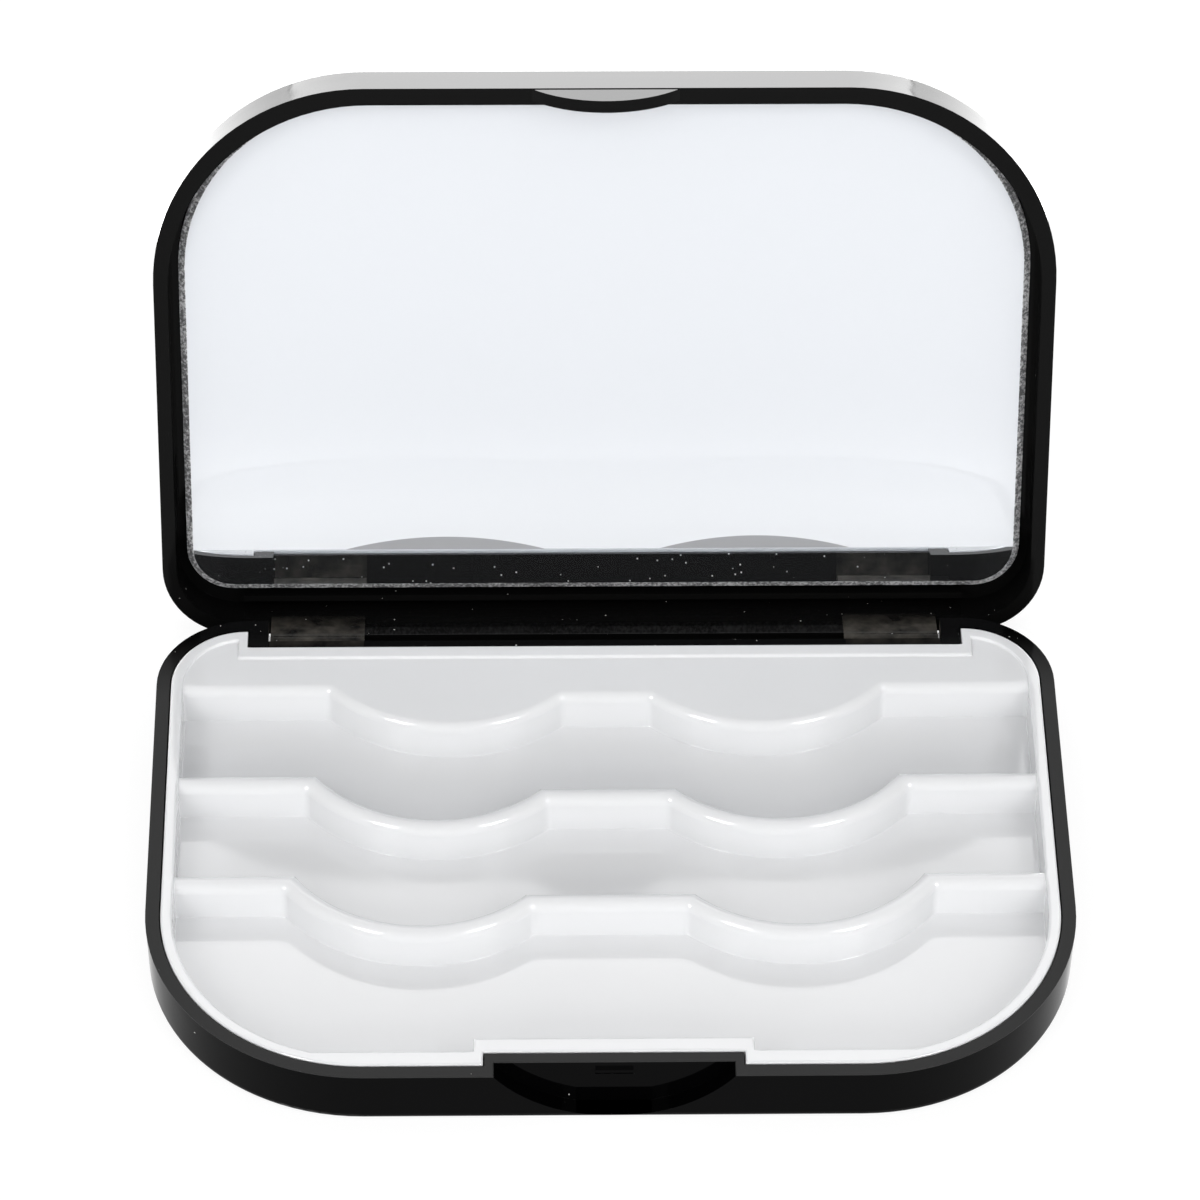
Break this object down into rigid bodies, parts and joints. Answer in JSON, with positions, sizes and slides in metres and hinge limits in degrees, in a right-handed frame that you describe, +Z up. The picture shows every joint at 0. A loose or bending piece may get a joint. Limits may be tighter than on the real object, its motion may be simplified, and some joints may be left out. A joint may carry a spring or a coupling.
{
  "type": "false eyelash case",
  "caption": "Shallow rounded case that opens like a book, with a wavy-walled white lash tray in the base and a mirror in the hinged lid.",
  "frame": {"origin": "centre of the base's flat underside", "axes": "+X along the hinge to the right as seen from the front, +Y towards the hinge, +Z up out of the tray"},
  "size_m": [0.115, 0.1103, 0.0767],
  "materials": {
    "case_plastic": "high gloss, moulded",
    "tray_plastic": "soft gloss, moulded",
    "mirror": "silvered flat glass with a ground bevel",
    "pin_steel": "drawn wire",
    "tape_foam": "closed-cell foam"
  },
  "bodies": {
    "base": {"base_shell": "case_plastic", "lash_tray": "tray_plastic", "hinge_pin_left": "pin_steel", "hinge_pin_right": "pin_steel"},
    "lid": {"lid_shell": "case_plastic", "mirror_glass": "mirror", "mirror_tape_front": "tape_foam", "mirror_tape_back": "tape_foam"}
  },
  "joints": [
    {"name": "lid_hinge", "type": "hinge", "parent": "base", "child": "lid", "pos_m": [0, 0.03815, 0.0038], "axis": [1, 0, 0], "range_deg": [0, 107]}
  ]
}
